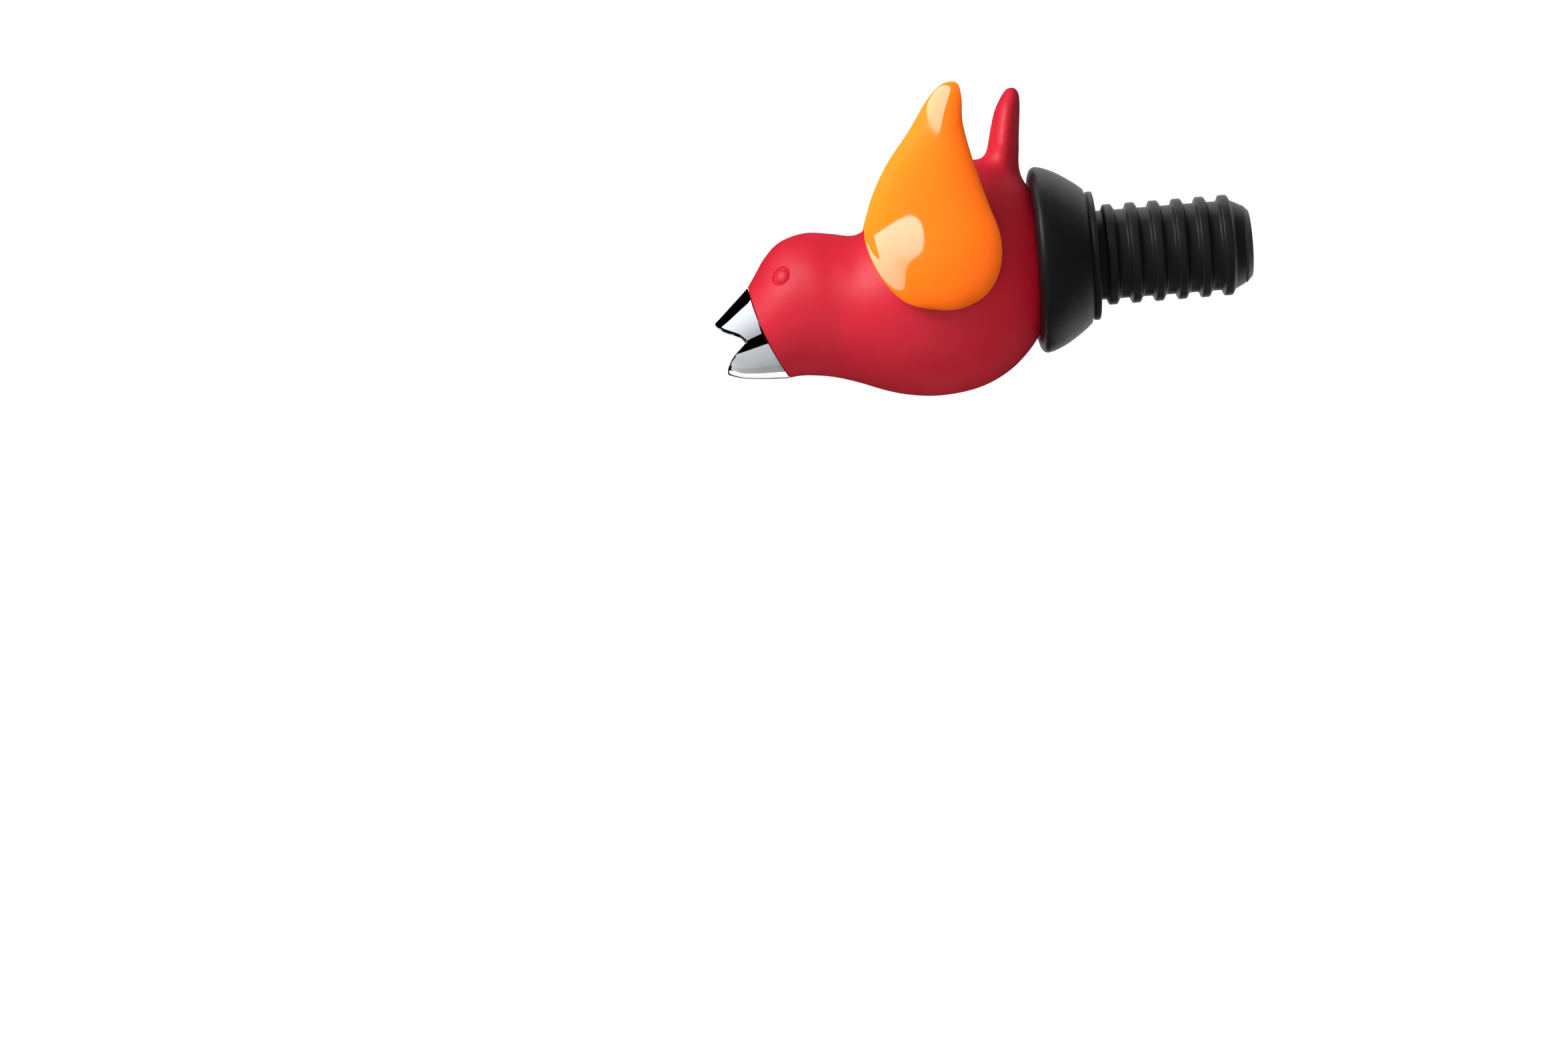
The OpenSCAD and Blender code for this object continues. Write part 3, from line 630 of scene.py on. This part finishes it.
def mouth_end(cosine):
    """How far the beak runs out at each turn before the mouth's line cuts it off, slightly smoothed."""
    line = smooth(MOUTH, 12)
    s = np.linspace(3.0, 10.4, 900)
    r = beak_radius(s[None], cosine[:, None])
    beyond = s[None] >= np.interp(r * cosine[:, None], line[:, 1], line[:, 0])
    end = np.where(beyond.any(1), s[np.argmax(beyond, 1)], s[-1])
    pad = np.concatenate([end[-6:], end, end[:6]])
    kernel = np.hanning(9)[1:-1]
    return np.convolve(pad, kernel / kernel.sum(), "same")[6:-6]


def beak():
    """Open beak with a rounded rim, joined by a web to the socket inside the head."""
    turn = np.linspace(0, 2 * math.pi, BEAK_TURNS, endpoint=False)
    cosine = np.cos(turn)
    end = mouth_end(cosine)
    end_r = beak_radius(end, cosine)
    slope = np.arctan2(beak_radius(end - 0.2, cosine) - beak_radius(end + 0.2, cosine), 0.4)

    out = (np.sin(slope)[:, None] * FORWARD
           + np.cos(slope)[:, None] * (cosine[:, None] * UP + np.sin(turn)[:, None] * SIDE))
    edge = beak_point(end, end_r, turn) - out * BEAK_WALL / 2
    run = np.roll(edge, -1, 0) - np.roll(edge, 1, 0)
    ahead = np.cross(out, run)
    ahead /= np.linalg.norm(ahead, axis=1)[:, None]
    ahead *= np.sign((ahead * FORWARD).sum(1))[:, None]
    edge = edge - ahead * BEAK_WALL * 0.28

    columns = []
    start = BOW * np.sin(turn) ** 2
    columns.append(beak_point(start + 0.02, beak_radius(start, cosine) - 0.22, turn))
    columns.append(beak_point(start, beak_radius(start, cosine) - 0.14, turn))
    columns.append(beak_point(start + 0.05, beak_radius(start + 0.05, cosine) - 0.03, turn))
    for f in np.linspace(0, 1, 30)[1:]:
        at = start + 0.12 + (end - 0.25 - start - 0.12) * f
        columns.append(beak_point(at, beak_radius(at, cosine), turn))
    for k in np.linspace(0.12, 0.88, 9) * math.pi:
        columns.append(edge + (BEAK_WALL / 2) * (math.cos(k) * out + 0.75 * math.sin(k) * ahead))
    for f in np.linspace(1, 0, 16):
        at = WEB_S + (end - 0.3 - WEB_S) * f
        columns.append(beak_point(at, beak_radius(at, cosine) - BEAK_WALL, turn))
    full = np.ones(BEAK_TURNS)
    for radius in (7.2, TUBE_R + 0.25):
        columns.append(beak_point(WEB_S * full, radius * full, turn))
    for at, radius in [(WEB_S - 0.2, TUBE_R), (RING_S[0], TUBE_R), (RING_S[0], RING_R),
                       (RING_S[1], RING_R), (RING_S[1], TUBE_R),
                       (SOCKET_S + 0.2, TUBE_R), (SOCKET_S, TUBE_R + 0.25), (SOCKET_S, SOCKET_R - 0.25),
                       (SOCKET_S + 0.2, SOCKET_R), (-0.3, SOCKET_R)]:
        columns.append(beak_point(at * full, radius * full, turn))
    columns.append(beak_point(start + 0.02, SOCKET_R * full + 0.1, turn))
    loops = np.stack(columns, 1)
    return make("beak_spout_plated", *loft(loops, join_rows=True), sharp=50)


# ---- Collar and plug ----

def collar():
    """Rubber cup with a rounded lip, and the ring that seats on the bottle."""
    r = collar_high[2]
    seat = r - 5.5
    depth = -collar_low[0]
    flare = smooth([[-1.7, seat + 0.62], [-3, r - 3.8], [-5, r - 2.4], [-7, r - 1.2], [-9, r - 0.35],
                    [-10.3, r - 0.02]], 8)
    lip = smooth([[-10.3, r - 0.02], [-10.85, r - 0.1], [-11.4, r - 0.5], [0.25 - depth, r - 1.2],
                  [0.02 - depth, r - 2.2], [0.06 - depth, r - 2.7], [0.4 - depth, r - 3.25]], 6)
    cup = smooth([[0.4 - depth, r - 3.25], [-10, r - 4.0], [-8.9, r - 5.1], [-8.2, r - 6.2],
                  [-7.95, r - 7.4]], 8)
    ring = fillet([[-7.95, CORE_NECK_R, 0], [0, CORE_NECK_R, 0], [0, seat, 0.35], [-0.95, seat, 0.3],
                   [-1.45, seat - 0.35, 0.25], [-1.62, seat + 0.3, 0.15]], 4)
    return revolve("drip_collar_rubber", np.vstack([ring, flare, lip[1:], cup[1:]]), turns=256)


PLUG_RIBS = 6
RIB_HEIGHT = 1.1


def plug():
    """Tapered rubber plug with round-edged ribs that lean back towards the collar."""
    r = plug_high[2]
    length = plug_high[0]
    root = r - RIB_HEIGHT
    pitch = (length - 4.5 - 1.4) / (PLUG_RIBS - 1)
    corners = [[0, CORE_NECK_R, 0], [0, root, 0]]
    for i in range(PLUG_RIBS):
        x = 1.5 + i * pitch
        corners += [[x, root, 0.35], [x + 0.45, r, 0.3], [x + 1.95, r, 0.45], [x + 2.55, root, 0.45]]
    corners += [[length, root - 0.9, 0.5], [length, CORE_NECK_R, 0]]
    return revolve("stopper_plug_rubber", fillet(corners))


# ---- Materials ----

def material(name, color, color_2, patch, roughness, spread, bump, grain, metallic=0.0, coat=0.0,
             subsurface=0.0, specular=0.5):
    """Procedural finish. color and color_2 mix in soft patches of that size, roughness varies by spread,
    and bump and grain are the height and size of the surface texture, all sizes in millimetres."""
    mat = bpy.data.materials.new(name)
    mat.use_nodes = True
    nodes, links = mat.node_tree.nodes, mat.node_tree.links
    shader = nodes["Principled BSDF"]
    where = nodes.new("ShaderNodeTexCoord")

    def noise(size, detail):
        n = nodes.new("ShaderNodeTexNoise")
        n.inputs["Scale"].default_value = 1 / (size * MM)
        n.inputs["Detail"].default_value = detail
        links.new(where.outputs["Object"], n.inputs["Vector"])
        return n.outputs["Fac"]

    def spread_of(source, low, high):
        m = nodes.new("ShaderNodeMapRange")
        m.inputs["From Min"].default_value = 0.3
        m.inputs["From Max"].default_value = 0.7
        m.inputs["To Min"].default_value = low
        m.inputs["To Max"].default_value = high
        links.new(source, m.inputs["Value"])
        return m.outputs["Result"]

    mix = nodes.new("ShaderNodeMix")
    mix.data_type = "RGBA"
    mix.inputs["A"].default_value = (*color, 1)
    mix.inputs["B"].default_value = (*color_2, 1)
    broad = noise(patch, 2)
    links.new(spread_of(broad, 0, 1), mix.inputs["Factor"])
    links.new(mix.outputs["Result"], shader.inputs["Base Color"])
    fine = noise(grain, 3)
    links.new(spread_of(fine, roughness - spread, roughness + spread), shader.inputs["Roughness"])
    relief = nodes.new("ShaderNodeBump")
    relief.inputs["Distance"].default_value = bump * MM
    relief.inputs["Strength"].default_value = 1.0
    links.new(fine, relief.inputs["Height"])
    links.new(relief.outputs["Normal"], shader.inputs["Normal"])
    shader.inputs["Metallic"].default_value = metallic
    shader.inputs["Coat Weight"].default_value = coat
    shader.inputs["Specular IOR Level"].default_value = specular
    if subsurface:
        shader.inputs["Subsurface Weight"].default_value = subsurface
        shader.inputs["Subsurface Radius"].default_value = (1.0, 0.4, 0.15)
        shader.inputs["Subsurface Scale"].default_value = 1.5 * MM
    return mat


FINISHES = {
    "body_red": material("matte_red", (0.78, 0.012, 0.038), (0.74, 0.009, 0.034), patch=6,
                         roughness=0.50, spread=0.08, bump=0.02, grain=0.13, specular=0.45),
    "wing_orange": material("gloss_orange", (1.0, 0.160, 0.010), (0.98, 0.152, 0.008), patch=9,
                            roughness=0.06, spread=0.02, bump=0.0006, grain=1.5, coat=0.3),
    "beak_chrome": material("chrome", (0.86, 0.87, 0.89), (0.83, 0.845, 0.87), patch=8,
                            roughness=0.035, spread=0.012, bump=0.0004, grain=1.2, metallic=1),
    "collar_rubber": material("black_rubber", (0.010, 0.010, 0.011), (0.013, 0.013, 0.014), patch=5,
                              roughness=0.44, spread=0.06, bump=0.008, grain=0.14),
    "core_plastic": material("black_plastic", (0.030, 0.030, 0.034), (0.040, 0.040, 0.045), patch=4,
                             roughness=0.42, spread=0.06, bump=0.006, grain=0.2),
    "tube_steel": material("drawn_steel", (0.60, 0.60, 0.62), (0.54, 0.54, 0.56), patch=3,
                           roughness=0.28, spread=0.07, bump=0.002, grain=0.25, metallic=1),
    "bearing_plastic": material("acetal", (0.86, 0.85, 0.80), (0.80, 0.79, 0.74), patch=3,
                                roughness=0.35, spread=0.05, bump=0.002, grain=0.3, subsurface=0.1),
    "weight_steel": material("tumbled_steel", (0.42, 0.42, 0.44), (0.50, 0.50, 0.52), patch=2,
                             roughness=0.38, spread=0.09, bump=0.004, grain=0.3, metallic=1),
}


def fit(obj, body, slot, *nodes):
    """Paints a piece, fixes it to its body and lets it stand for its CAD nodes."""
    obj.data.materials.clear()
    obj.data.materials.append(FINISHES[slot])
    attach(obj, body)
    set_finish(obj, slot)
    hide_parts(*nodes)


# ---- The pieces ----

shell_verts, shell_faces = body_half()
fit(make("body_right_skin", shell_verts, shell_faces), "body", "body_red", "body_right_shell")
fit(mirrored("body_left_skin", shell_verts, shell_faces), "body", "body_red", "body_left_shell")
fit(beak(), "body", "beak_chrome", "beak_spout")
fit(collar(), "body", "collar_rubber", "drip_collar")
fit(plug(), "body", "collar_rubber", "stopper_plug")

dome_verts, dome_faces = wing_shell()
plate_verts, plate_faces = wing_plate()
fit(make("wing_right_dome", dome_verts, dome_faces), "wings", "wing_orange", "wing_right_shell")
fit(mirrored("wing_left_dome", dome_verts, dome_faces), "wings", "wing_orange", "wing_left_shell")
fit(make("wing_right_plate", plate_verts, plate_faces), "wings", "wing_orange", "wing_right_back")
fit(mirrored("wing_left_plate", plate_verts, plate_faces), "wings", "wing_orange", "wing_left_back")

# Nodes without a piece of their own are shown as they are in CAD, in the finish of their slot
slots = {s["node"]: s["material_slot"] for s in frame["record"]["subparts"]}
for node, obj in frame["nodes"].items():
    if obj.hide_render:
        continue
    obj.data.materials.clear()
    obj.data.materials.append(FINISHES[slots[node]])
    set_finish(obj, slots[node])


# ---- Stage: pale floor, white surround and soft lights ----

def emissive(name, color, strength):
    """A material that only glows."""
    mat = bpy.data.materials.new(name)
    mat.use_nodes = True
    nodes, links = mat.node_tree.nodes, mat.node_tree.links
    nodes.clear()
    glow = nodes.new("ShaderNodeEmission")
    glow.inputs["Color"].default_value = (*color, 1)
    glow.inputs["Strength"].default_value = strength
    out = nodes.new("ShaderNodeOutputMaterial")
    links.new(glow.outputs["Emission"], out.inputs["Surface"])
    return mat


def in_slots(pieces, *names):
    return [o for o in pieces if o.get("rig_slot") in names]


def show_to(obj, camera=False, diffuse=False, glossy=False):
    obj.visible_camera = camera
    obj.visible_diffuse = diffuse
    obj.visible_glossy = glossy
    obj.visible_transmission = False
    obj.visible_volume_scatter = False
    obj.visible_shadow = False


# Middles of the object, the wing's tip and lower part, and the beak, in metres like the rest of the stage
MIDDLE = Vector((-0.034, 0, 0.004))
WING_TIP_AT = Vector((-0.030, -0.023, 0.027))
WING_LOW_AT = Vector((-0.038, -0.024, 0.003))
BEAK_AT = Vector((-0.068, -0.006, -0.011))
FLOOR_Z = -0.155
FLOOR_R = 2.4
SURROUND_R = 4
WARM = (1, 0.95, 0.9)


def toward(azimuth, elevation):
    """Direction from the object: azimuth 0 is towards the camera, 90 to its right."""
    az, el = math.radians(azimuth), math.radians(elevation)
    return Vector((math.sin(az) * math.cos(el), -math.cos(az) * math.cos(el), math.sin(el)))


def only_for(light, pieces):
    """The light falls on these pieces alone."""
    group = bpy.data.collections.new(light.name + "_receivers")
    for piece in pieces:
        group.objects.link(piece)
    light.light_linking.receiver_collection = group


def card(name, centre, outline, distance, pieces, color=(1, 1, 1)):
    """A card that only reflections see: a smooth outline of (azimuth, elevation, brightness) round it."""
    corners = np.array([[*(centre + toward(az, el) * distance) / MM, glow] for az, el, glow in outline])
    rim = closed(corners, 8)
    middle = rim.mean(axis=0)
    steps = np.linspace(0.05, 1, 8)
    points = middle + steps[:, None, None] * (rim - middle)
    n = len(rim)
    obj = make(name, points.reshape(-1, 4)[:, :3], grid_faces(len(steps), n) + [list(range(n))])
    glow = obj.data.attributes.new("glow", "FLOAT", "POINT")
    glow.data.foreach_set("value", points[..., 3].ravel().astype(np.float32))
    mat = emissive(name, color, 1)
    nodes, links = mat.node_tree.nodes, mat.node_tree.links
    source = nodes.new("ShaderNodeAttribute")
    source.attribute_name = "glow"
    links.new(source.outputs["Fac"], nodes["Emission"].inputs["Strength"])
    obj.data.materials.append(mat)
    show_to(obj, glossy=True)
    obj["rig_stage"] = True
    only_for(obj, pieces)


def softbox(name, azimuth, elevation, distance, size, watts, pieces=(), glossy=False):
    """A square lamp that faces the object, and shines on these pieces or on everything."""
    light = bpy.data.lights.new(name, "AREA")
    light.shape = "SQUARE"
    light.size = size
    light.energy = watts
    obj = bpy.data.objects.new(name, light)
    away = toward(azimuth, elevation)
    turn = away.to_track_quat("Z", "Y").to_matrix().to_4x4()
    obj.matrix_world = Matrix.Translation(MIDDLE + away * distance) @ turn
    obj.visible_glossy = glossy
    bpy.context.scene.collection.objects.link(obj)
    if pieces:
        only_for(obj, pieces)


def floor_and_surround():
    a = np.linspace(0, 2 * math.pi, 96, endpoint=False)
    rings = [np.stack([radius * np.cos(a), radius * np.sin(a), 0 * a + FLOOR_Z], -1) / MM
             for radius in (0.02, 1.0, FLOOR_R)]
    floor = make("floor", np.concatenate(rings), grid_faces(3, 96))
    pale = material("floor_pale", (0.93, 0.93, 0.93), (0.91, 0.91, 0.91), patch=60,
                    roughness=0.6, spread=0.05, bump=0.02, grain=4)
    shader = pale.node_tree.nodes["Principled BSDF"]
    shader.inputs["Emission Color"].default_value = (1, 1, 1, 1)
    shader.inputs["Emission Strength"].default_value = 0.9
    floor.data.materials.append(pale)
    show_to(floor, camera=True)
    floor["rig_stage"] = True

    lat = np.linspace(-math.pi / 2 + 0.02, math.pi / 2 - 0.02, 33)
    dome = [np.stack([np.cos(t) * np.cos(a), np.cos(t) * np.sin(a), 0 * a + np.sin(t)], -1)
            * SURROUND_R / MM for t in lat]
    surround = make("surround", *loft(np.array(dome)))
    surround.data.materials.append(emissive("surround_white", (1, 1, 1), 1.05))
    show_to(surround, camera=True)
    surround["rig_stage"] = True


def soft_world():
    """An even white world, weaker in reflections."""
    world = bpy.data.worlds.new("studio")
    world.use_nodes = True
    nodes, links = world.node_tree.nodes, world.node_tree.links
    nodes["Background"].inputs["Color"].default_value = (1, 1, 1, 1)
    rays = nodes.new("ShaderNodeLightPath")
    level = nodes.new("ShaderNodeMapRange")
    level.inputs["To Min"].default_value = 0.2
    level.inputs["To Max"].default_value = 0.04
    links.new(rays.outputs["Is Glossy Ray"], level.inputs["Value"])
    links.new(level.outputs["Result"], nodes["Background"].inputs["Strength"])
    bpy.context.scene.world = world


def lights_and_cards():
    polished = in_slots(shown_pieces(), "wing_orange", "beak_chrome", "tube_steel")
    matte = [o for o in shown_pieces() if o not in polished]
    red = in_slots(matte, "body_red")
    rubber = [o for o in matte if o not in red]
    wings = in_slots(polished, "wing_orange")
    chrome = in_slots(polished, "beak_chrome")

    softbox("key", -55, 36, 0.9, 0.5, 7.6, matte, glossy=True)
    softbox("bounce", -20, -50, 0.9, 0.9, 2.6, matte)
    softbox("key_polished", -55, 36, 0.9, 0.5, 25, polished)
    softbox("wing_fill", 40, -25, 0.9, 0.6, 2.6, wings)
    softbox("fill", -5, 10, 1.3, 0.9, 2.2)
    softbox("rear", 160, 30, 1.3, 0.9, 9)

    for name, glow, pieces in (("backdrop_red", 0.45, red), ("backdrop_wings", 0.5, wings),
                               ("backdrop", 1.1, rubber)):
        card(name, MIDDLE, [(110, -45, 0.6 * glow), (110, 60, glow), (180, 84, 1.5 * glow),
                            (250, 60, glow), (250, -45, 0.6 * glow), (180, -60, 0.6 * glow)],
             1.2, pieces)
    card("wing_low", WING_LOW_AT,
         [(-84, -7, 9), (-37, 5, 10), (-13, 8, 10), (-2.5, 5, 9), (-4, -3, 7),
          (-17, -12, 4), (-40, -34, 4), (-88, -26, 6)], 0.4, wings, WARM)
    card("wing_tip", WING_TIP_AT,
         [(-50, 38.5, 8), (-30, 30.8, 8), (-9, 23, 7), (9, 18, 7), (14, 26, 8),
          (0, 40, 9), (-50, 50, 10)], 0.4, wings, WARM)
    card("beak_white", BEAK_AT,
         [(-105, 32, 1.3), (-108, 60, 1.5), (-70, 62, 1.3), (-45, 30, 1), (-42, -8, 0.5),
          (-60, -10, 0.7), (-85, 10, 1.2)], 0.3, chrome, (0.93, 0.96, 1))
    card("beak_low", BEAK_AT,
         [(-75, -38, 0.8), (-45, -35, 0.7), (-15, -36, 0.55), (20, -52, 0.4), (20, -80, 0.3),
          (-160, -84, 0.3), (-112, -70, 0.6), (-95, -50, 0.85)], 0.3, chrome, (0.96, 0.98, 1))
    card("beak_under", BEAK_AT,
         [(-100, -62, 0.6), (-108, -76, 0.4), (-160, -83, 0.2), (150, -76, 0.1),
          (180, -57, 0.3), (-135, -55, 0.7)], 0.4, chrome)
    card("beak_back", BEAK_AT,
         [(218, -55, 1.2), (214, -20, 1), (207, 4, 0.9), (201, 22, 0.8), (165, 28, 0.8),
          (145, -10, 1), (145, -56, 1.2), (180, -60, 1.2)], 0.5, chrome)


CAMERA_AT = (-0.06345, -0.874, -0.0461)
CAMERA_LENS = 105
CAMERA_ROLL = math.radians(4.6)


def camera():
    """Camera square to the object's side, rolled as in the photo."""
    cam = bpy.data.cameras.new("camera")
    cam.lens = CAMERA_LENS
    cam.sensor_width = 36
    cam.clip_end = 50
    obj = bpy.data.objects.new("camera", cam)
    bpy.context.scene.collection.objects.link(obj)
    right = Vector((math.cos(CAMERA_ROLL), 0, -math.sin(CAMERA_ROLL)))
    up = Vector((math.sin(CAMERA_ROLL), 0, math.cos(CAMERA_ROLL)))
    turn = Matrix((right, up, right.cross(up))).transposed().to_4x4()
    obj.matrix_world = Matrix.Translation(CAMERA_AT) @ turn
    bpy.context.scene.camera = obj


floor_and_surround()
soft_world()
lights_and_cards()
camera()
bpy.context.scene.view_settings.view_transform = "Standard"
